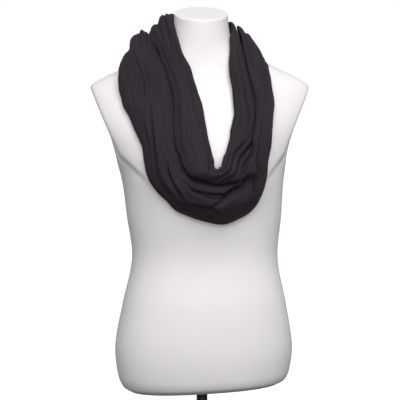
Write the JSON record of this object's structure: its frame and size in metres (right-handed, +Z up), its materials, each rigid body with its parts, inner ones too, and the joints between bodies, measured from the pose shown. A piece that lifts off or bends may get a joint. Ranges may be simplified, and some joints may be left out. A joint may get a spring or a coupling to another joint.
{
  "type": "infinity scarf on a dress form",
  "caption": "Dark jersey infinity scarf wound twice round the neck of a limbless white dress form, which stands on a short pole and a round foot plate.",
  "frame": {"origin": "middle of the underside of the round foot plate", "axes": "+Z up, -Y the way the dress form faces, +X to the viewer's right from the front"},
  "size_m": [0.3939, 0.35, 0.8347],
  "materials": {
    "scarf_cloth": "matte light jersey, charcoal with a hint of plum",
    "form_shell": "smooth satin white moulded shell",
    "stand_metal": "black satin enamel"
  },
  "bodies": {
    "root": {"scarf_front_inner": "scarf_cloth", "scarf_back_under": "scarf_cloth", "scarf_front_outer": "scarf_cloth", "scarf_back_over": "scarf_cloth", "form_body": "form_shell", "stand_pole": "stand_metal", "stand_socket": "stand_metal", "stand_base": "stand_metal"}
  },
  "joints": []
}
